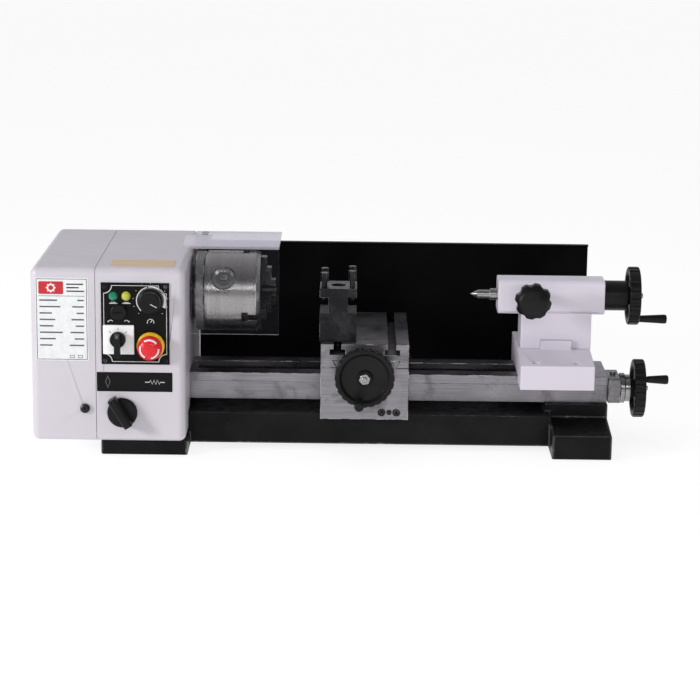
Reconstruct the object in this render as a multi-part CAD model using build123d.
from build123d import *
import math
import os

# Miniature bench lathe. X runs along the bed, Y goes from the operator to the back, Z is up.
# The origin is on the bench, midway between the feet and below the spindle axis. Millimetres.

# ---- driving dimensions -------------------------------------------------------------------
AXIS_Z = 146.0            # spindle axis above the bench
BED_TOP = 70.5            # ground way surface
BED_BOTTOM = 43.0
BED_HALF = 35.0           # half width over the ways
WAY_GAP_HALF = 16.0
LIP_Z = 61.5              # underside of the guide lip on the ways
WALL_OUT = 32.0           # bed wall, outside and inside half widths
WALL_IN = 27.0
BED_LEFT, BED_RIGHT = -245.0, 249.0
FOOT_FRONT, FOOT_BACK = -90.0, 108.0
LEFT_FOOT = (-249.0, -165.0)
RIGHT_FOOT = (191.0, 249.0)
BENCH_X, BENCH_Y = (-213.0, 213.0), (-80.0, 80.0)   # tapped holes under the feet

COVER_FRONT, COVER_BACK = -98.0, 122.0
COVER_LOW, COVER_TOP = 15.0, 186.0
COVER_SPLIT, COVER_RIGHT = -252.0, -166.0
GEAR_COVER_LEFT = -314.5
SHEET = 2.0               # sheet thickness of the covers
CASTING_RIGHT = COVER_RIGHT - SHEET

SCREW_Y, SCREW_Z = -20.0, 56.0      # lead screw axis
SCREW_R = 4.0
CLUTCH_R = 7.5                      # face clutch on the lead screw
RUN = 0.05                          # radial clearance of a running fit

SPINDLE_R = 12.5
BEARING_R, BEARING_W = 21.0, 12.0
CHUCK_R = 40.0
PLATE_BACK, PLATE_FRONT = -161.3, -151.5
CHUCK_BACK, CHUCK_FRONT = -151.5, -97.0

SADDLE_X = (-36.0, 50.0)
SADDLE_FRONT, SADDLE_BACK = -75.0, 75.0
SADDLE_TOP, DOVETAIL_TOP, SLIDE_TOP = 86.0, 93.0, 109.5
CARRIAGE_X = 7.0
SLIDE_BACK = 78.0
CROSS_Z = 82.0
SLOT_OFFSET = 26.5                  # T-slot distance from the carriage centre line

POST_X, POST_Y = CARRIAGE_X - SLOT_OFFSET, -44.75

TAIL_X = (159.0, 231.5)
QUILL_R = 10.0
WHEEL_R = 29.0
CRANK_R = 23.0                      # crank handle to wheel centre

MODULE = 1.0
SPINDLE_TEETH, BIG_TEETH, SMALL_TEETH, LEAD_TEETH = 30, 68, 20, 70
GEAR_A = (-275.0, -267.0)           # plane of the first gear pair
GEAR_B = (-286.0, -278.0)           # plane of the second gear pair
PULLEY_X = (-262.0, -250.5)
SPINDLE_PULLEY_R, MOTOR_PULLEY_R = 28.0, 11.0
MOTOR_Y, MOTOR_Z = 80.0, 96.0

PANEL_X, PANEL_Z = (-246.5, -181.0), (92.5, 172.5)
PANEL_FRONT = COVER_FRONT - 1.2
LAMPS = ((-234.6, 159.5), (-222.2, 159.7))
FUSE = (-229.4, 144.5)
SPEED = (-199.0, 155.3)
SWITCH = (-230.2, 117.8)
STOP = (-199.1, 111.1)
FEED = (-227.0, 44.4)
FORK_R = 8.0                        # eccentricity of the feed fork pin

PIVOT_Y, PIVOT_Z = 52.0, 176.0      # chuck guard hinge
JAW_ANGLES = (90.0, 210.0, 330.0)


# ---- small builders -----------------------------------------------------------------------
def block(xs, ys, zs):
    """A box between two corners."""
    size = (xs[1] - xs[0], ys[1] - ys[0], zs[1] - zs[0])
    return Pos(sum(xs) / 2, sum(ys) / 2, sum(zs) / 2) * Box(*size)


def rod(axis, span, centre, radius):
    """A cylinder along an axis, from span[0] to span[1]; centre holds the other two coordinates."""
    middle, solid = sum(span) / 2, Cylinder(radius, span[1] - span[0])
    if axis == "x":
        return Pos(middle, *centre) * Rot(0, 90, 0) * solid
    if axis == "y":
        return Pos(centre[0], middle, centre[1]) * Rot(90, 0, 0) * solid
    return Pos(*centre, middle) * solid


def ring(axis, span, centre, outer, inner):
    bore = (span[0] - 1, span[1] + 1)
    return rod(axis, span, centre, outer) - rod(axis, bore, centre, inner)


def turned(axis, points, centre):
    """A solid of revolution from (place along the axis, radius) points."""
    if axis == "x":
        face = make_face(Polyline(*[(a, r) for a, r in points], close=True))
        return Pos(0, *centre) * revolve(face, Axis.X)
    face = make_face(Polyline(*[(r, a) for a, r in points], close=True))
    solid = revolve(face, Axis.Y)
    if axis == "y":
        return Pos(centre[0], 0, centre[1]) * solid
    return Pos(*centre, 0) * Rot(90, 0, 0) * solid


def prism_x(points, xs):
    """A prism along X from (Y, Z) points."""
    face = make_face(Polyline(*[(0, y, z) for y, z in points], close=True))
    return Pos(xs[0], 0, 0) * extrude(face, xs[1] - xs[0], dir=(1, 0, 0))


def prism_y(points, ys):
    """A prism along Y from (X, Z) points."""
    face = make_face(Polyline(*[(x, 0, z) for x, z in points], close=True))
    return Pos(0, ys[0], 0) * extrude(face, ys[1] - ys[0], dir=(0, 1, 0))


def rounded(xs, ys, zs, radius, keep_sharp=None):
    """A box with rounded edges; edges lying on the X plane keep_sharp stay sharp."""
    solid = block(xs, ys, zs)
    edges = solid.edges()
    if keep_sharp is not None:
        edges = edges.filter_by(lambda e: abs(e.center().X - keep_sharp) > 0.01)
    return fillet(edges, radius)


def polar(radius, degrees):
    angle = math.radians(degrees)
    return radius * math.cos(angle), radius * math.sin(angle)


def about_spindle(shape, degrees):
    """Turn a shape about the spindle axis."""
    return Pos(0, 0, AXIS_Z) * Rot(degrees, 0, 0) * Pos(0, 0, -AXIS_Z) * shape


def save(name, *solids):
    shape = solids[0] if len(solids) == 1 else Compound(children=list(solids))
    export_step(shape, f"parts/{name}.step")


# ---- fasteners ----------------------------------------------------------------------------
def cap_screw(axis, head, direction, centre, radius, head_depth, length):
    """A socket-head screw; head is the outer face of the head, direction points into the work."""
    seat = head + direction * head_depth
    tip = seat + direction * length
    screw = rod(axis, sorted((head, seat)), centre, radius * 1.7)
    screw += rod(axis, sorted((seat, tip)), centre, radius)
    socket = head + direction * head_depth * 0.6
    return screw - rod(axis, sorted((head - direction, socket)), centre, radius * 0.8)


def screw_hole(axis, head, direction, centre, radius, head_depth, length):
    """The counterbored hole that the screw fills."""
    seat = head + direction * head_depth
    tip = seat + direction * length
    hole = rod(axis, sorted((head - direction * 40, seat)), centre, radius * 1.7)
    return hole + rod(axis, sorted((seat, tip)), centre, radius)


BED_BOLTS = [("z", 55.0, -1, (x, 0), 3.0, 6, 24) for x in (-198.0, 218.0)]
HEAD_BOLTS = [("z", 84.0, -1, (x, y), 3.0, 6, 12) for x in (-218.0, -196.0) for y in (-24, 24)]
PANEL_SCREWS = [("y", PANEL_FRONT - 0.6, 1, (x, z), 1.2, 0.6, 6)
                for x in (PANEL_X[0] + 3.6, PANEL_X[1] - 3.6) for z in (PANEL_Z[0] + 3.6, PANEL_Z[1] - 3.6)]
CAP_SCREW_PLACES = [polar(24.8, angle) for angle in (30, 150, 270)]
CAP_SCREWS = [("x", -163.0, -1, (y, AXIS_Z + z), 1.5, 2, 9) for y, z in CAP_SCREW_PLACES]
SPLASH_SCREWS = [("y", 110.7, -1, (x, 20.0), 2.0, 1.5, 12) for x in (202.0, 232.0)]
BLOCK_SCREWS = [("x", 261.0, -1, (y, z), 1.8, 3, 18) for y, z in ((-29.5, 62.5), (-10.5, 49.5))]


# ---- frame --------------------------------------------------------------------------------
def base_casting():
    slope = [(FOOT_FRONT, 0), (FOOT_FRONT, 24), (-40, 30), (40, 30), (FOOT_BACK, 26), (FOOT_BACK, 0)]
    base = prism_x(slope, RIGHT_FOOT)
    base += block((187.0, 249.0), (-40, 40), (5, BED_BOTTOM))
    base += block(LEFT_FOOT, (FOOT_FRONT, FOOT_BACK), (0, 14.5))
    base += block((-246.0, -172.0), (-86, 104), (0, 26))
    base += block((-246.0, -172.0), (-30, 40), (5, BED_BOTTOM))
    base += block((-246.0, 191.0), (-60, 60), (5, 35.5))
    base -= block((-160.0, 182.0), (-54, 54), (-1, 27))
    for x in BENCH_X:
        for y in BENCH_Y:
            base -= rod("z", (-1, 12), (x, y), 2.5)
    for spec in BED_BOLTS:
        base -= screw_hole(*spec)
    for spec in SPLASH_SCREWS:
        base -= screw_hole(*spec)
    return base


def bed():
    profile = [(-BED_HALF, LIP_Z), (-BED_HALF, BED_TOP), (-WAY_GAP_HALF, BED_TOP), (-WAY_GAP_HALF, 64.5),
               (-WALL_IN, 64.5), (-WALL_IN, BED_BOTTOM), (-WALL_OUT, BED_BOTTOM), (-WALL_OUT, LIP_Z)]
    body = prism_x(profile, (BED_LEFT, BED_RIGHT))
    body += prism_x([(-y, z) for y, z in profile], (BED_LEFT, BED_RIGHT))
    body += block((237.0, BED_RIGHT), (-WALL_OUT, WALL_OUT), (BED_BOTTOM, LIP_Z))
    body += block((237.0, BED_RIGHT), (-WAY_GAP_HALF - 1, WAY_GAP_HALF + 1), (LIP_Z - 1, BED_TOP))
    body += block((206.0, 237.0), (-12.0, WALL_IN + 1), (BED_BOTTOM, 49))
    body += block((-214.0, -172.0), (-12.0, WALL_IN + 1), (BED_BOTTOM, 49))
    body += block((-172.0, -160.0), (-12.0, WALL_IN + 1), (BED_BOTTOM, 68))
    body += block((BED_LEFT, -240.5), (-WALL_IN - 1, WALL_IN + 1), (BED_BOTTOM, BED_TOP))
    body += block((-230.0, -184.0), (-WAY_GAP_HALF - 1, WAY_GAP_HALF + 1), (66, BED_TOP))
    body -= block((-236.0, -206.0), (-36, -26), (BED_BOTTOM - 1, 60.5))
    body -= rod("x", (-250, -240), (SCREW_Y, SCREW_Z), SCREW_R + RUN)
    body -= rod("x", (236, 250), (SCREW_Y, SCREW_Z), 6.0)
    for spec in BED_BOLTS + HEAD_BOLTS + BLOCK_SCREWS:
        body -= screw_hole(*spec)
    return body


def headstock_casting():
    body = block((BED_LEFT, CASTING_RIGHT), (-38, 38), (BED_TOP, 178))
    body = fillet(body.edges().filter_by(Axis.X).sort_by(Axis.Z)[-2:], 10)
    body -= block((-228.0, -186.0), (-40, 40), (84, 172))
    body += block((BED_LEFT, -237.0), (37, 116), (60, 134))
    axis = (0, AXIS_Z)
    body -= rod("x", (-250, -160), axis, SPINDLE_R + 2.5)
    body -= rod("x", (BED_LEFT - 1, BED_LEFT + BEARING_W), axis, BEARING_R)
    body -= rod("x", (CASTING_RIGHT - BEARING_W, CASTING_RIGHT + 1), axis, BEARING_R)
    body -= rod("x", (-250, -230), (MOTOR_Y, MOTOR_Z), 12.0)
    for spec in HEAD_BOLTS + CAP_SCREWS:
        body -= screw_hole(*spec)
    return body


def panel_openings(y_from):
    """What passes through the panel and the front wall behind it."""
    ys = (y_from, COVER_FRONT + SHEET + 0.5)
    cut = [rod("y", ys, lamp, 4.0) for lamp in LAMPS]
    cut += [rod("y", ys, FUSE, 6.0), rod("y", ys, SPEED, 3.5), rod("y", ys, SWITCH, 6.0), rod("y", ys, STOP, 8.0)]
    cut += [screw_hole(*spec) for spec in PANEL_SCREWS]
    return cut


def headstock_cover():
    outer = rounded((COVER_SPLIT, COVER_RIGHT), (COVER_FRONT, COVER_BACK), (COVER_LOW, COVER_TOP), 7, COVER_SPLIT)
    inner = rounded((COVER_SPLIT - 10, CASTING_RIGHT), (COVER_FRONT + SHEET, COVER_BACK - SHEET),
                    (COVER_LOW + SHEET, COVER_TOP - SHEET), 5, COVER_SPLIT - 10)
    shell = outer - inner
    shell -= block((-260, -170), (FOOT_FRONT, FOOT_BACK + 0.5), (10, 20))
    shell -= block((-175, -160), (-62, 62), (10, 37))
    shell -= block((-172, -160), (-BED_HALF - 1, BED_HALF + 1), (10, BED_TOP + 1))
    shell -= rod("x", (-170, -160), (0, AXIS_Z), 29.0)
    shell -= rod("y", (COVER_FRONT - 1, -90), FEED, 4.0 + RUN)
    shell -= rod("x", (-170, -160), (PIVOT_Y, PIVOT_Z), 3.0)
    shell -= block((-232.0, -200.0), (115, 125), (38, 62))
    for i in range(7):
        shell -= block((-240.0, -180.0), (115, 125), (84 + 9 * i, 88 + 9 * i))
    tab = block((-272.0, -242.0), (COVER_FRONT + SHEET + 0.6, COVER_FRONT + SHEET + 2.6), (38.3, 58.3))
    tab += block((-251.5, -242.0), (COVER_FRONT + SHEET - 0.2, COVER_FRONT + SHEET + 1), (38.3, 58.3))
    tab -= block((-280.0, -260.7), (-100, -80), (46.0, 50.6))
    shell += tab
    for cut in panel_openings(COVER_FRONT - 5):
        shell -= cut
    return shell


def bearing_places():
    return ((BED_LEFT, BED_LEFT + BEARING_W), (CASTING_RIGHT - BEARING_W, CASTING_RIGHT))


BALL_PATH, BALL_R = 16.75, 2.4


def raceway(span):
    return Pos(sum(span) / 2, 0, AXIS_Z) * Rot(0, 90, 0) * Torus(BALL_PATH, BALL_R + 0.1)


def bearing_outer_rings():
    return [ring("x", span, (0, AXIS_Z), BEARING_R, 18.6) - raceway(span) for span in bearing_places()]


def bearing_inner_rings():
    solids = []
    for span in bearing_places():
        solids.append(ring("x", span, (0, AXIS_Z), 14.9, SPINDLE_R) - raceway(span))
        for i in range(9):
            y, z = polar(BALL_PATH, 40 * i)
            solids.append(Pos(sum(span) / 2, y, AXIS_Z + z) * Sphere(BALL_R))
    return solids


def bearing_cover():
    cover = ring("x", (CASTING_RIGHT, -162.0), (0, AXIS_Z), 28.5, SPINDLE_R + 1)
    for spec in CAP_SCREWS:
        cover -= screw_hole(*spec)
    return cover


def control_panel():
    plate = block(PANEL_X, (PANEL_FRONT, COVER_FRONT), PANEL_Z)
    for cut in panel_openings(PANEL_FRONT - 5):
        plate -= cut
    return plate


def indicator_lamps():
    lamps = []
    for centre in LAMPS:
        lens = turned("y", [(-103.2, 0), (-102.6, 2.6), (-101.2, 4.2), (PANEL_FRONT, 4.5), (PANEL_FRONT, 0)], centre)
        lamps.append(lens + rod("y", (PANEL_FRONT, -88), centre, 4.0))
    return lamps


def fuse_holder():
    cap = rod("y", (PANEL_FRONT - 5, PANEL_FRONT), FUSE, 7.8)
    cap = fillet(cap.edges().sort_by(Axis.Y)[0], 1.5)
    cap -= block((FUSE[0] - 5, FUSE[0] + 5), (PANEL_FRONT - 6, PANEL_FRONT - 3.6), (FUSE[1] - 0.8, FUSE[1] + 0.8))
    return cap + rod("y", (PANEL_FRONT, -72), FUSE, 6.0)


def switch_plate():
    body = block((-244.7, -214.8), (-101.4, PANEL_FRONT), (102.7, 131.4))
    body += rod("y", (PANEL_FRONT, -92), SWITCH, 6.0)
    body += block((SWITCH[0] - 13, SWITCH[0] + 13), (-94, -58), (SWITCH[1] - 13, SWITCH[1] + 13))
    return body - rod("y", (-110, -76), SWITCH, 3.0 + RUN)


def estop_collar():
    profile = [(-102.5, 0), (-102.5, 11.6), (-101.3, 13.4), (PANEL_FRONT, 13.4), (PANEL_FRONT, 0)]
    collar = turned("y", profile, STOP)
    collar += rod("y", (PANEL_FRONT, -70), STOP, 8.0)
    collar += block((STOP[0] - 12, STOP[0] + 12), (-76, -52), (STOP[1] - 12, STOP[1] + 12))
    return collar - rod("y", (-110, -84), STOP, 5.0 + RUN)


def control_board():
    board = block((-240.0, -176.0), (-50, -48.4), (88, 168))
    parts = [block((-214.0, -180.0), (-56, -50), (150, 160)), block((-232.0, -226.0), (-60, -50), (92, 100))]
    for x, z in ((-222, 160), (-234, 142), (-181.5, 93)):
        parts.append(rod("y", (-68, -50), (x, z), 5.0))
    parts.append(block((-206.0, -194.0), (-64, -50), (128, 144)))
    pot = rod("y", (-92, -78), SPEED, 8.5) - rod("y", (-93, -80), SPEED, 3.0 + RUN)
    pot_lead = block((SPEED[0] - 4, SPEED[0] + 4), (-78, -56), (151, 159))
    for part in parts:
        board += part
    standoffs = [rod("y", (-48.4, -38), (x, z), 3.0) for x in (-235, -181) for z in (92, 164)]
    for post in standoffs:
        board += post
    return [board, pot + pot_lead]


def motor():
    centre = (MOTOR_Y, MOTOR_Z)
    can = turned("x", [(-237.0, 0), (-237.0, 30), (-233.0, 31.5), (-228, 31.5), (-228, 30.5), (-190, 30.5),
                       (-190, 31.5), (-181, 31.5), (-178, 27), (-178, 0)], centre)
    can += rod("x", (-237.6 - 7, -237), centre, 12.0)
    for i in range(12):
        y, z = polar(30.6, 30 * i)
        can -= rod("x", (-226, -192), (MOTOR_Y + y, MOTOR_Z + z), 1.2)
    return can - rod("x", (-246, -196), centre, 4.0 + RUN)


def belt_loop(extra):
    """The belt outline: the common hull of both pulley circles, in the YZ plane at X = 0."""
    spindle_edge = Circle(SPINDLE_PULLEY_R + extra)
    dy, dz = MOTOR_Y, MOTOR_Z - AXIS_Z
    motor_edge = Pos(dy, dz) * Circle(MOTOR_PULLEY_R + extra)
    hull = make_hull(list(spindle_edge.edges()) + list(motor_edge.edges()))
    width = PULLEY_X[1] - PULLEY_X[0] - 3.6
    return Pos(PULLEY_X[0] + 1.8, 0, AXIS_Z) * extrude(Plane.YZ * hull, width, dir=(1, 0, 0))


def drive_belt():
    return belt_loop(2.2) - Pos(-2, 0, 0) * belt_loop(0.35) - Pos(2, 0, 0) * belt_loop(0.35)


def pulley(radius, centre, bore):
    left, right = PULLEY_X
    wheel = ring("x", (left, right), centre, radius, bore)
    for flange in ((left, left + 1.5), (right - 1.5, right)):
        wheel += ring("x", flange, centre, radius + 3.0, bore)
    return wheel


def mains_inlet():
    body = block((-236.0, -196.0), (COVER_BACK, COVER_BACK + 2.5), (34, 66))
    body += block((-231.8, -200.2), (104, COVER_BACK), (38.2, 61.8))
    body -= block((-226.0, -206.0), (108, COVER_BACK + 3), (43, 57))
    pins = [block((x - 1, x + 1), (107, COVER_BACK + 1), (47, 53)) for x in (-222.5, -216.0, -209.5)]
    for pin in pins:
        body += pin
    return body


def splash_guard():
    sheet = block((-165.5, 239.0), (FOOT_BACK, FOOT_BACK + 1.2), (8, 178))
    sheet += block((-165.5, 239.0), (FOOT_BACK - 6, FOOT_BACK + 1.2), (176.8, 178))
    sheet = fillet(sheet.edges().filter_by(Axis.X).sort_by(lambda e: e.center().Z - e.center().Y * 0.01)[-1:], 0.5)
    for spec in SPLASH_SCREWS:
        sheet -= screw_hole(*spec)
    return sheet


def frame_screws():
    specs = BED_BOLTS + HEAD_BOLTS + PANEL_SCREWS + CAP_SCREWS + SPLASH_SCREWS + BLOCK_SCREWS
    solids = [cap_screw(*spec) for spec in specs]
    pivot = rod("x", (-168.0, -161.9), (PIVOT_Y, PIVOT_Z), 3.0)
    pivot += rod("x", (-161.9, -158.9), (PIVOT_Y, PIVOT_Z), 5.0)
    return solids + [pivot]


def gear_centres():
    """Spindle, compound and lead-screw gear centres in (Y, Z), with the meshing distances."""
    first = MODULE * (SPINDLE_TEETH + BIG_TEETH) / 2
    second = MODULE * (SMALL_TEETH + LEAD_TEETH) / 2
    dy, dz = SCREW_Y, SCREW_Z - AXIS_Z
    span = math.hypot(dy, dz)
    along = (first ** 2 - second ** 2 + span ** 2) / (2 * span)
    aside = math.sqrt(first ** 2 - along ** 2)
    uy, uz = dy / span, dz / span
    compound = (along * uy + aside * uz, AXIS_Z + along * uz - aside * uy)
    return (0.0, AXIS_Z), compound, (SCREW_Y, SCREW_Z)


def direction(start, end):
    return math.degrees(math.atan2(end[1] - start[1], end[0] - start[0]))


def gear_outline(teeth, phase):
    """Involute tooth outline, (Y, Z) points about the gear's own centre; a tooth points along phase."""
    pitch_r = MODULE * teeth / 2
    base_r = pitch_r * math.cos(math.radians(20))
    tip_r, root_r = pitch_r + 0.9 * MODULE, pitch_r - 1.25 * MODULE
    half_tooth = math.pi / (2 * teeth) - 0.11 / pitch_r

    def involute(radius):
        turn = math.acos(min(1.0, base_r / radius))
        return math.tan(turn) - turn

    flank = []
    for step in range(4):
        radius = max(base_r, root_r) + (tip_r - max(base_r, root_r)) * step / 3
        flank.append((radius, half_tooth + involute(pitch_r) - involute(radius)))
    flank.insert(0, (root_r, flank[0][1] + 0.15 / pitch_r))
    points = []
    for tooth in range(teeth):
        middle = math.radians(phase) + 2 * math.pi * tooth / teeth
        side = [(r, middle - a) for r, a in flank] + [(r, middle + a) for r, a in reversed(flank)]
        points += [(r * math.cos(a), r * math.sin(a)) for r, a in side]
    return points


def gear(teeth, phase, centre, xs):
    points = [(centre[0] + y, centre[1] + z) for y, z in gear_outline(teeth, phase)]
    return prism_x(points, xs)


def gear_banjo():
    compound = gear_centres()[1]
    plate = block((-250.0, BED_LEFT), (SCREW_Y - 11, compound[0] + 10), (SCREW_Z - 11, compound[1] + 12))
    plate -= block((-251.0, -244.0), (SCREW_Y - 2.5, SCREW_Y + 2.5), (SCREW_Z + 16, compound[1] - 12))
    plate += rod("x", (-292.0, -250.0), compound, 5.0)
    plate += rod("x", (-262.0, -250.0), compound, 8.0)
    return plate - rod("x", (-251, -244), (SCREW_Y, SCREW_Z), SCREW_R + RUN)


def leadscrew_bearing():
    body = block((BED_RIGHT, 261.0), (-41, 1), (45, 70))
    body = fillet(body.edges().filter_by(Axis.X), 2.5)
    body += rod("z", (70, 72.5), (255, SCREW_Y), 3.0)
    body -= rod("x", (248, 262), (SCREW_Y, SCREW_Z), SCREW_R + RUN)
    for spec in BLOCK_SCREWS:
        body -= screw_hole(*spec)
    return body


# ---- gear cover and guard -----------------------------------------------------------------
COVER_SCREW_X, COVER_SCREW_Z = -263.0, 48.3


def gear_cover():
    edge = COVER_SPLIT - 0.4
    outer = rounded((GEAR_COVER_LEFT, edge), (COVER_FRONT, COVER_BACK), (COVER_LOW, COVER_TOP), 7, edge)
    inner = rounded((GEAR_COVER_LEFT + SHEET, edge + 10), (COVER_FRONT + SHEET, COVER_BACK - SHEET),
                    (COVER_LOW + SHEET, COVER_TOP - SHEET), 5, edge + 10)
    bar_hole = rod("x", (GEAR_COVER_LEFT - 1, GEAR_COVER_LEFT + 3), (0, AXIS_Z), 8.0)
    return outer - inner - bar_hole - rod("y", (-99, -95), (COVER_SCREW_X, COVER_SCREW_Z), 2.0)


def cover_screw():
    centre = (COVER_SCREW_X, COVER_SCREW_Z)
    head = turned("y", [(-102.0, 0), (-101.6, 3.4), (-100.4, 4.6), (COVER_FRONT, 4.6), (COVER_FRONT, 0)], centre)
    head -= rod("y", (-103, -100.2), centre, 1.7)
    nut = ring("y", (-93.0, -90.0), centre, 4.5, 2.0)
    return head + rod("y", (COVER_FRONT, -89.0), centre, 2.0) + nut


GUARD_X = (-164.0, -78.0)
GUARD_FRONT, GUARD_BACK, GUARD_TOP, GUARD_LOW, ACRYLIC = -44.0, 47.0, 198.0, 111.0, 2.5


def chuck_guard():
    outer = block(GUARD_X, (GUARD_FRONT, GUARD_BACK), (GUARD_LOW, GUARD_TOP))
    outer = fillet(outer.edges().filter_by(Axis.X).sort_by(lambda e: e.center().Z - e.center().Y)[-1:], 6)
    inner = block((GUARD_X[0] - 1, GUARD_X[1] + 1), (GUARD_FRONT + ACRYLIC, GUARD_BACK + 1),
                  (GUARD_LOW - 1, GUARD_TOP - ACRYLIC))
    inner = fillet(inner.edges().filter_by(Axis.X).sort_by(lambda e: e.center().Z - e.center().Y)[-1:], 3.5)
    sheet = outer - inner
    return sheet + block((-173.0, GUARD_X[0] + 1), (-34, 20), (GUARD_TOP - ACRYLIC, GUARD_TOP))


def guard_arm():
    web_top = GUARD_TOP - ACRYLIC
    arm = prism_x([(20, web_top), (20, 188), (44, PIVOT_Z - 5), (58, PIVOT_Z - 5), (58, PIVOT_Z + 7), (47, web_top)],
                  (-165.4, -162.4))
    arm += block((-162.6, -148.0), (24, 44), (web_top - 3, web_top))
    return arm - rod("x", (-170, -160), (PIVOT_Y, PIVOT_Z), 3.0 + RUN)


# ---- spindle and chuck --------------------------------------------------------------------
def spindle():
    axis = (0, AXIS_Z)
    nose = PLATE_FRONT + 4
    return turned("x", [(-292, 5), (-292, SPINDLE_R), (PLATE_BACK, SPINDLE_R), (PLATE_BACK, 16), (nose, 16),
                        (nose, 8.9), (nose - 60, 7.2), (nose - 60, 5)], axis)


def spindle_pulley():
    return pulley(SPINDLE_PULLEY_R, (0, AXIS_Z), SPINDLE_R)


def spindle_gear():
    first, second, _ = gear_centres()
    wheel = gear(SPINDLE_TEETH, direction(first, second), first, GEAR_A)
    wheel -= rod("x", (-290, -260), first, SPINDLE_R)
    spacer = ring("x", (-288.0, -277.0), first, 17.0, SPINDLE_R)
    return [wheel, spacer, ring("x", (-266.5, -262.5), first, 15.5, SPINDLE_R)]


PLATE_BOLTS = [("x", -158.0, 1, 30.0, a, 2.5, 4, 10) for a in (0, 120, 240)]


def plate_bolt_specs():
    specs = []
    for axis, head, way, radius, angle, r, depth, length in PLATE_BOLTS:
        y, z = polar(radius, angle)
        specs.append((axis, head, way, (y, AXIS_Z + z), r, depth, length))
    return specs


def chuck_backplate():
    plate = turned("x", [(PLATE_BACK, 16), (PLATE_BACK, 38.5), (PLATE_BACK + 1, 39.5), (PLATE_FRONT - 1, 39.5),
                         (PLATE_FRONT, 38.5), (PLATE_FRONT, 16)], (0, AXIS_Z))
    for spec in plate_bolt_specs():
        plate -= screw_hole(*spec)
    return [plate] + [cap_screw(*spec) for spec in plate_bolt_specs()]


SCROLL_X = (-127.0, -117.0)
PINION_X, PINION_R = -133.0, 6.0
PINION_HEAD_R, PINION_STEP = 12.0, 34.3
JAW_FACE = -115.0                   # floor of the jaw ways
JAW_W, JAW_STEM = 12.0, 7.0


def jaw_way():
    """The radial way for one jaw, pointing along +Z, with side grooves."""
    slot = block((JAW_FACE, CHUCK_FRONT + 1), (-JAW_STEM / 2 - 0.1, JAW_STEM / 2 + 0.1), (AXIS_Z - 1, AXIS_Z + 45))
    return slot + block((JAW_FACE, JAW_FACE + 6), (-JAW_W / 2 - 0.1, JAW_W / 2 + 0.1), (AXIS_Z - 1, AXIS_Z + 45))


def chuck_body():
    body = turned("x", [(CHUCK_BACK, 0), (CHUCK_BACK, 38.6), (-149.7, 38.6), (-149.7, CHUCK_R), (-100.8, CHUCK_R),
                        (CHUCK_FRONT, 37.5), (CHUCK_FRONT, 0)], (0, AXIS_Z))
    body -= rod("x", (CHUCK_BACK - 1, CHUCK_FRONT + 1), (0, AXIS_Z), 10.0)
    body -= rod("x", (CHUCK_BACK - 1, PLATE_FRONT + 4), (0, AXIS_Z), 16.0)
    body -= rod("x", (SCROLL_X[0] - 0.3, JAW_FACE + 0.01), (0, AXIS_Z), 33.0)
    for angle in JAW_ANGLES:
        body -= about_spindle(jaw_way(), angle - 90)
        body -= about_spindle(pinion_bore(), angle - 30)
    for spec in plate_bolt_specs():
        body -= screw_hole(*spec)
    collar = rod("x", (SCROLL_X[0] - 0.3, JAW_FACE), (0, AXIS_Z), 14.0)
    body += collar - rod("x", (CHUCK_BACK, CHUCK_FRONT), (0, AXIS_Z), 10.0)
    return body


def chuck_scroll():
    disc = ring("x", SCROLL_X, (0, AXIS_Z), 32.6, 14.4)
    for radius in (18.0, 22.0, 26.0, 30.0):
        groove = (SCROLL_X[1] - 1.6, SCROLL_X[1] + 1)
        disc -= ring("x", groove, (0, AXIS_Z), radius + 0.9, radius - 0.9)
    return disc


def pinion_bore():
    """The stepped hole for one key pinion."""
    hole = rod("z", (AXIS_Z + 19, AXIS_Z + 45), (PINION_X, 0), PINION_R + RUN)
    return hole + rod("z", (AXIS_Z + PINION_STEP - 0.2, AXIS_Z + 45), (PINION_X, 0), PINION_HEAD_R + RUN)


def chuck_pinion(angle):
    profile = [(20, 0), (20, PINION_R), (PINION_STEP, PINION_R), (PINION_STEP, PINION_HEAD_R),
               (37.6, PINION_HEAD_R), (37.6, 10.5), (36.4, 7.5), (36.4, 0)]
    body = turned("z", [(AXIS_Z + height, r) for height, r in profile], (PINION_X, 0))
    body -= Pos(PINION_X, 0, AXIS_Z + 34) * Box(6.2, 6.2, 9)
    return about_spindle(body, angle - 90)


def chuck_jaw(angle):
    """A stepped inside jaw, modelled pointing along +Z and then turned into place."""
    inner, middle, outer = 3.2, 12.5, 25.0
    base = AXIS_Z
    jaw = block((JAW_FACE + 0.1, JAW_FACE + 5.9), (-JAW_W / 2, JAW_W / 2), (base + inner + 5, base + 35.5))
    jaw += block((JAW_FACE + 0.1, CHUCK_FRONT + 0.4), (-JAW_STEM / 2, JAW_STEM / 2), (base + inner + 5, base + 35.5))
    jaw += block((CHUCK_FRONT + 0.4, -91.0), (-JAW_W / 2, JAW_W / 2), (base + inner, base + 35.5))
    jaw += block((-91.0, -82.3), (-JAW_W / 2, JAW_W / 2), (base + inner, base + outer))
    jaw -= block((-86.6, -80.0), (-10, 10), (base + middle, base + outer + 1))
    wedge = prism_x([(-JAW_W, base), (-JAW_W, base + 12.5), (-1.2, base + inner), (1.2, base + inner),
                     (JAW_W, base + 12.5), (JAW_W, base)], (JAW_FACE, -80))
    return about_spindle(jaw - wedge, angle - 90)


# ---- drive --------------------------------------------------------------------------------
def motor_pulley():
    centre = (MOTOR_Y, MOTOR_Z)
    return pulley(MOTOR_PULLEY_R, centre, 4.0) + rod("x", (-264.0, -198.0), centre, 4.0)


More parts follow.
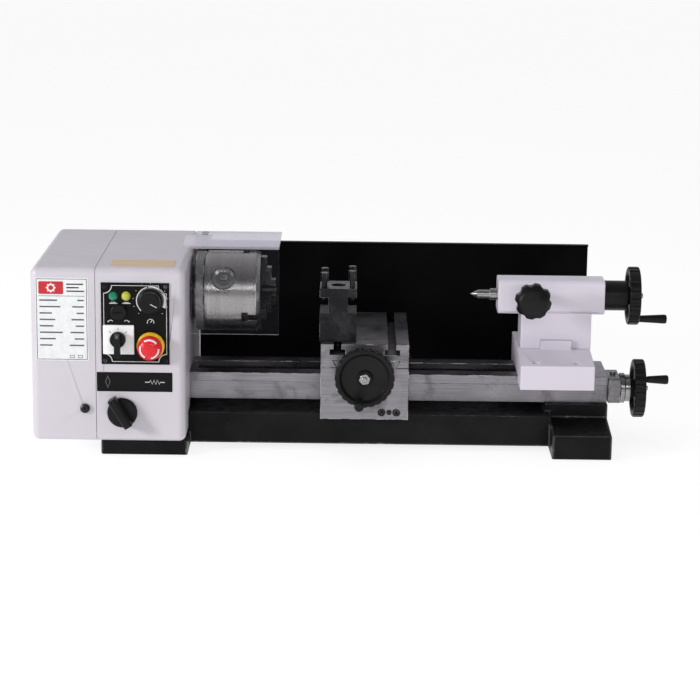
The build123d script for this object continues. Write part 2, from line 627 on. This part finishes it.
def compound_gear():
    first, second, third = gear_centres()
    tooth_gap = 180 / BIG_TEETH
    wheel = gear(BIG_TEETH, direction(second, first) + tooth_gap, second, GEAR_A)
    wheel += gear(SMALL_TEETH, direction(second, third), second, GEAR_B)
    wheel += rod("x", (GEAR_B[1], GEAR_A[0]), second, 8.5)
    return wheel - rod("x", (-300, -260), second, 5.0 + RUN)


def lead_gear():
    _, second, third = gear_centres()
    tooth_gap = 180 / LEAD_TEETH
    wheel = gear(LEAD_TEETH, direction(third, second) + tooth_gap, third, GEAR_B)
    wheel += rod("x", (-290.0, -250.4), third, 7.0)
    wheel += rod("x", (-250.4, -236.2), third, SCREW_R)
    wheel += rod("x", (-240.3, -238.8), third, CLUTCH_R - 0.5)      # driving face of the clutch
    return wheel


# ---- lead screw ---------------------------------------------------------------------------
RIM_W = 11.0


def handwheel(face, hub_back, bore, angle, length):
    """A handwheel along +X with its crank handle at an angle; face is the rim's outer side."""
    back = face - RIM_W
    wheel = turned("x", [(hub_back, 0), (hub_back, 9), (back + 2.5, 9), (back + 2.5, 22), (back, 23), (back, 28),
                         (back + 1, WHEEL_R), (face - 1, WHEEL_R), (face, 28), (face, 24.5), (face - 3, 22),
                         (face - 3, 8), (face, 7), (face, 0)], (0, 0))
    for i in range(24):
        y, z = polar(WHEEL_R + 1.3, 15 * i + 7.5)
        wheel -= rod("x", (back - 1, face + 1), (y, z), 2.4)
    wheel += crank(face, angle, length)
    return wheel - rod("x", (hub_back - 1, face - 2), (0, 0), bore)


def crank(face, angle, length):
    """The crank handle beside the hub, along +X, at an angle in the wheel's plane."""
    profile = [(face - 5, 0), (face - 5, 3.0), (face + 1, 3.0), (face + 2, 3.4), (face + length - 3, 4.6),
               (face + length - 1, 4.5), (face + length, 3.6), (face + length, 0)]
    return turned("x", profile, polar(CRANK_R, angle))


def leadscrew():
    axis = (SCREW_Y, SCREW_Z)
    solid = rod("x", (-235.0, 283.6), axis, SCREW_R)
    solid += rod("x", (233.0, 236.8), axis, 4.45)
    return solid + block((-232.0, -216.0), (SCREW_Y - 1, SCREW_Y + 1), (SCREW_Z, SCREW_Z + 4.6))


def leadscrew_dial():
    axis = (SCREW_Y, SCREW_Z)
    return turned("x", [(261.4, SCREW_R), (261.4, 14), (262.4, 15), (266.5, 15), (267, 13.5), (272, 13.5),
                        (272, SCREW_R)], axis)


def leadscrew_handwheel():
    place = Pos(0, SCREW_Y, SCREW_Z)
    angle = math.degrees(math.atan2(12.8, -17.9))
    return place * handwheel(286.0, 272.0, SCREW_R, angle, 22.0)


def clutch_sleeve():
    axis = (SCREW_Y, SCREW_Z)
    sleeve = turned("x", [(-231, SCREW_R + RUN), (-231, CLUTCH_R), (-229.7, CLUTCH_R), (-229.7, 5.6),
                          (-224.3, 5.6), (-224.3, CLUTCH_R), (-214, CLUTCH_R), (-214, SCREW_R + RUN)], axis)
    facing = ring("x", (-233.5, -231.0), axis, CLUTCH_R - 0.5, SCREW_R + RUN)
    keyway = block((-235, -213), (SCREW_Y - 1.1, SCREW_Y + 1.1), (SCREW_Z, SCREW_Z + 4.9))
    return sleeve + facing - keyway


# ---- controls -----------------------------------------------------------------------------
def feed_knob():
    back = COVER_FRONT - 0.4
    knob = turned("y", [(back - 3, 0), (back - 3, 13.6), (back - 2, 14.6), (back, 14.6), (back, 0)], FEED)
    bar = block((FEED[0] - 4.2, FEED[0] + 4.2), (back - 16, back - 2), (FEED[1] - 13.6, FEED[1] + 18.0))
    bar = fillet(bar.edges().filter_by(Axis.Z), 2.5)
    knob += Pos(FEED[0], 0, FEED[1]) * Rot(0, -32, 0) * Pos(-FEED[0], 0, -FEED[1]) * bar
    knob += rod("y", (back, -34), FEED, 4.0)
    arm = block((FEED[0] - 4, FEED[0] + 4), (-39, -34), (FEED[1] - 3, FEED[1] + FORK_R + 3))
    return knob + arm + rod("y", (-34, -25.5), (FEED[0], FEED[1] + FORK_R), 1.5)


def speed_knob():
    back = PANEL_FRONT - 0.4
    skirt = turned("y", [(back - 14, 0), (back - 14, 9.2), (back - 13, 10), (back - 3.5, 10.6), (back - 3, 12),
                         (back, 12), (back, 0)], SPEED)
    for i in range(20):
        x, z = polar(11.2, 18 * i)
        skirt -= rod("y", (back - 15, back - 4), (SPEED[0] + x, SPEED[1] + z), 1.0)
    return skirt + rod("y", (back, -81), SPEED, 3.0)


def direction_knob():
    back = -101.8
    knob = rod("y", (back - 5, back), SWITCH, 7.6)
    bar = block((SWITCH[0] - 2.9, SWITCH[0] + 2.9), (back - 12, back - 4), (SWITCH[1] - 16.5, SWITCH[1] + 6.8))
    bar = fillet(bar.edges().filter_by(Axis.Y), 2.4)
    return knob + bar + rod("y", (back, -78), SWITCH, 3.0)


def estop_button():
    button = turned("y", [(-117.5, 0), (-117.0, 5), (-115.2, 9), (-112.6, 11.5), (-110.0, 12), (-107.8, 11.6),
                          (-106.6, 10), (-106.6, 0)], STOP)
    return button + rod("y", (-106.6, -90), STOP, 5.0)


# ---- carriage -----------------------------------------------------------------------------
NUT_SCREWS = [("y", SADDLE_FRONT + 0.5, 1, (x, 41.7), 2.2, 4, 16) for x in (24.0, 38.6)]


def saddle():
    body = block(SADDLE_X, (SADDLE_FRONT, SADDLE_BACK), (BED_TOP + RUN, SADDLE_TOP))
    body += block(SADDLE_X, (SADDLE_FRONT, -63), (34.5, SADDLE_TOP))
    body += prism_y([(-20, SADDLE_TOP), (37, SADDLE_TOP), (41, DOVETAIL_TOP), (-24, DOVETAIL_TOP)],
                    (SADDLE_FRONT, SADDLE_BACK))
    for side in (-1, 1):
        body += block(SADDLE_X, sorted((side * 35.3, side * 47)), (55, BED_TOP + 1))
        body += block(SADDLE_X, sorted((side * 32.4, side * 36)), (55, LIP_Z - 0.2))
    body -= block((CARRIAGE_X - 9, CARRIAGE_X + 9), (-63, SADDLE_BACK + 1), (76, DOVETAIL_TOP + 1))
    body -= rod("y", (-76, -60), (CARRIAGE_X, CROSS_Z), SCREW_R + RUN)
    for spec in NUT_SCREWS:
        body -= screw_hole(*spec)
    return body - rod("y", (-76, -60), (31.4, 41.7), 2.4)


def feed_nut():
    # the nut is open above, so that it hooks on to the leadscrew from below
    arm = prism_x([(-63, 36.5), (-63, 48), (-49, 48), (-49, 42), (-26.5, 42), (-26.5, 57), (-13, 57), (-13, 36.5)],
                  (19.0, 44.0))
    arm -= rod("x", (18, 45), (SCREW_Y, SCREW_Z), SCREW_R + 0.3)
    for spec in NUT_SCREWS:
        arm -= screw_hole(*spec)
    arm -= rod("y", (-64, -54), (31.4, 41.7), 2.4)
    return [arm, rod("y", (-75, -54), (31.4, 41.7), 2.4)] + [cap_screw(*spec) for spec in NUT_SCREWS]


def cross_slide():
    low = SADDLE_TOP + 0.1
    body = block(SADDLE_X, (SADDLE_FRONT, SLIDE_BACK), (low, SLIDE_TOP))
    body -= prism_y([(-20.3, low - 1), (37.3, low - 1), (37.3, low), (41.3, DOVETAIL_TOP + 0.1),
                     (-24.3, DOVETAIL_TOP + 0.1), (-20.3, low)], (SADDLE_FRONT - 1, SLIDE_BACK + 1))
    for side in (-1, 1):
        centre = CARRIAGE_X + side * SLOT_OFFSET
        body -= block((centre - 3.8, centre + 3.8), (-80, 80), (99, SLIDE_TOP + 1))
        body -= block((centre - 7.5, centre + 7.5), (-80, 80), (99, 104))
    nut = block((CARRIAGE_X - 7.5, CARRIAGE_X + 7.5), (-10, 10), (76.6, DOVETAIL_TOP + 0.5))
    return body + nut - rod("y", (-11, 11), (CARRIAGE_X, CROSS_Z), SCREW_R + 0.3)


def cross_screw():
    centre = (CARRIAGE_X, CROSS_Z)
    return rod("y", (-102, 70), centre, SCREW_R) + rod("y", (-62.9, -60), centre, 5.4)


def facing_front(shape):
    """Turn something modelled along +X to point towards the operator on the cross screw axis."""
    return Pos(CARRIAGE_X, 0, CROSS_Z) * Rot(0, 0, -90) * shape


def cross_handwheel():
    angle = math.degrees(math.atan2(-24.0, -5.5))
    return facing_front(handwheel(104.0, 75.5, SCREW_R, angle, 24.0))


def tool_post():
    xs, ys = (POST_X - 18, POST_X + 18), (POST_Y - 20.25, POST_Y + 20.25)
    body = block(xs, ys, (SLIDE_TOP + RUN, 162.3))
    for cut in ((xs[0] - 1, POST_X - 9.5), (POST_X + 9.5, xs[1] + 1)):
        body -= block(cut, (ys[0] - 1, ys[1] + 1), (138, 153.4))
    body -= rod("z", (100, 170), (POST_X, POST_Y), 4.0)
    body -= rod("z", (152, 170), (POST_X, POST_Y), 7.2)
    for x, y in POST_SCREWS:
        body -= rod("z", (150, 170), (x, y), 2.5)
    return body


POST_SCREWS = [(POST_X + dx, POST_Y + dy) for dx in (-13.6, 13.6) for dy in (-12.5, 11.5)]


def tool_post_screws():
    solids = []
    for i, (x, y) in enumerate(POST_SCREWS):
        top = 179.0 if i > 1 else 177.0
        screw = rod("z", (150.5, top - 9), (x, y), 2.5)
        screw += Pos(x, y, top - 4.5) * extrude(RegularPolygon(4.2, 6), 4.5, both=True)
        solids.append(screw)
    centre = (POST_X, POST_Y)
    bolt = rod("z", (99.2, 103.8), centre, 7.2) + rod("z", (103, 152), centre, 3.7)
    bolt += rod("z", (152, 160), centre, 7.0)
    return solids + [bolt - Pos(*centre, 160) * extrude(RegularPolygon(3.4, 6), 4, both=True)]


# ---- tailstock ----------------------------------------------------------------------------
TAIL_KEY_X = (182.0, 212.6)
HOUSING_X = (139.0, 245.0)
TAIL_SCREWS = [("z", 88.0, -1, (x, -65.0), 2.0, 3, 14) for x in (174.6, 215.2)]


def tailstock_base():
    low = BED_TOP + RUN
    body = prism_x([(-75, 66), (-75, 90), (-20, 95), (60, 95), (60, 66), (35.4, 66), (35.4, low), (-35.4, low),
                    (-35.4, 66)], TAIL_X)
    body += block(TAIL_KEY_X, (-24, 24), (94, 104))
    for spec in TAIL_SCREWS:
        body -= screw_hole(*spec)
    clamp = block((176.0, 214.0), (-26, 26), (61.2, 64.3))
    for x in (184.0, 206.0):
        bolt = rod("z", (61.2, 84), (x, 0), 3.0)
        clamp += bolt
        body -= bolt
    return [body, clamp] + [cap_screw(*spec) for spec in TAIL_SCREWS]


def tailstock_body():
    body = block((162.0, 232.0), (-20, 20), (95, 131))
    body -= block(TAIL_KEY_X, (-25, 25), (94, 104))
    housing = fillet(block(HOUSING_X, (-17, 17), (129, 163)).edges().filter_by(Axis.X), 5)
    body += housing
    body -= rod("x", (138, 246), (0, AXIS_Z), QUILL_R + RUN)
    return body - rod("y", (-20, -5), (171, 150), 3.5)


def quill():
    tube = ring("x", (140, 240), (0, AXIS_Z), QUILL_R, SCREW_R + 0.1)
    return tube - turned("x", [(139, 0), (139, 6.05), (189, 5.05), (189, 0)], (0, AXIS_Z))


def dead_centre():
    return turned("x", [(111, 0), (120, 4.25), (131.5, 4.25), (131.5, 5.75), (139, 5.75), (139, 6.05), (187, 5.09),
                        (187, 0)], (0, AXIS_Z))


def tailstock_handwheel():
    place = Pos(0, 0, AXIS_Z)
    angle = math.degrees(math.atan2(-21.6, -4.0))
    wheel = handwheel(280.0, 268.0, SCREW_R, angle, 28.5)
    wheel += turned("x", [(245.4, SCREW_R), (245.4, 14.5), (246.2, 15), (268.2, 15), (268.2, SCREW_R)], (0, 0))
    screw = rod("x", (195, 278), (0, 0), SCREW_R)
    return [place * wheel, place * screw]


def quill_lock_knob():
    centre = (171, 150)
    knob = turned("y", [(-66, 0), (-65.4, 7), (-63, 13.4), (-59, 17.2), (-53, 18.2), (-50, 17), (-50, 0)], centre)
    for i in range(8):
        x, z = polar(21.0, 45 * i + 10)
        knob -= rod("y", (-70, -45), (centre[0] + x, centre[1] + z), 5.2)
    return knob + rod("y", (-50, -30), centre, 6.0) + rod("y", (-30, -10.2), centre, 3.45)


# ---- write every piece --------------------------------------------------------------------
def main():
    os.makedirs("parts", exist_ok=True)
    makers = [base_casting, bed, headstock_casting, headstock_cover, bearing_outer_rings, bearing_cover,
              control_panel, indicator_lamps, fuse_holder, switch_plate, estop_collar, control_board, motor,
              drive_belt, mains_inlet, splash_guard, frame_screws, gear_banjo, leadscrew_bearing, gear_cover,
              cover_screw, chuck_guard, guard_arm, spindle, bearing_inner_rings, spindle_pulley, spindle_gear,
              chuck_backplate, chuck_body, chuck_scroll, motor_pulley, compound_gear, lead_gear, leadscrew,
              leadscrew_dial, leadscrew_handwheel, clutch_sleeve, feed_knob, speed_knob, direction_knob,
              estop_button, saddle, feed_nut, cross_slide, cross_screw, cross_handwheel, tool_post,
              tool_post_screws, tailstock_base, tailstock_body, quill, dead_centre, tailstock_handwheel,
              quill_lock_knob]
    for maker in makers:
        made = maker()
        save(maker.__name__, *(made if isinstance(made, list) else [made]))
    for number, angle in enumerate(JAW_ANGLES, start=1):
        save(f"chuck_jaw_{number}", chuck_jaw(angle))
        save(f"chuck_pinion_{number}", chuck_pinion(angle + 60))


main()
